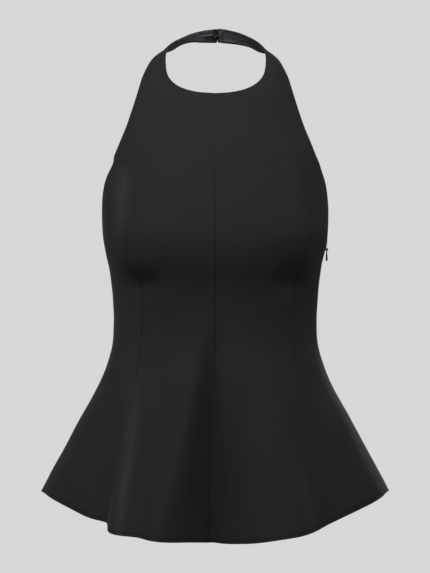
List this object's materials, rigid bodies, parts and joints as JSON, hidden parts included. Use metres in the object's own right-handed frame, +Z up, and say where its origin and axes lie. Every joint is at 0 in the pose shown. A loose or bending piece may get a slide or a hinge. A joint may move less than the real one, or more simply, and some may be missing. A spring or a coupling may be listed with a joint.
{
  "type": "halter neck top",
  "caption": "Sleeveless top held by a strap round the neck, fitted to the waist, with a flared peplum, a hook closure at the nape and a concealed side zip.",
  "frame": {"origin": "middle of the neck strap at the nape, where the wearer's neck carries the top", "axes": "+Z up, the front of the top faces -Y, +X to the wearer's left"},
  "size_m": [0.4514, 0.3651, 0.6631],
  "materials": {
    "crepe": "matt black crepe suiting",
    "satin": "shiny black satin",
    "zip tape": "woven black tape",
    "lacquered metal": "black lacquer"
  },
  "bodies": {
    "top": {"front_left": "crepe", "front_right": "crepe", "side_front_left": "crepe", "side_front_right": "crepe", "back_left": "crepe", "back_right": "crepe", "neck_facing_left": "satin", "neck_facing_right": "satin", "neck_hook": "lacquered metal", "neck_eye": "lacquered metal", "zip_tape": "zip tape", "zip_slider": "lacquered metal"},
    "pull": {"zip_pull": "lacquered metal"}
  },
  "joints": [
    {"name": "pull_swing", "type": "hinge", "parent": "top", "child": "pull", "pos_m": [0.14484, -0.058, -0.2854], "axis": [0, -1, 0], "range_deg": [-8, 150]}
  ]
}
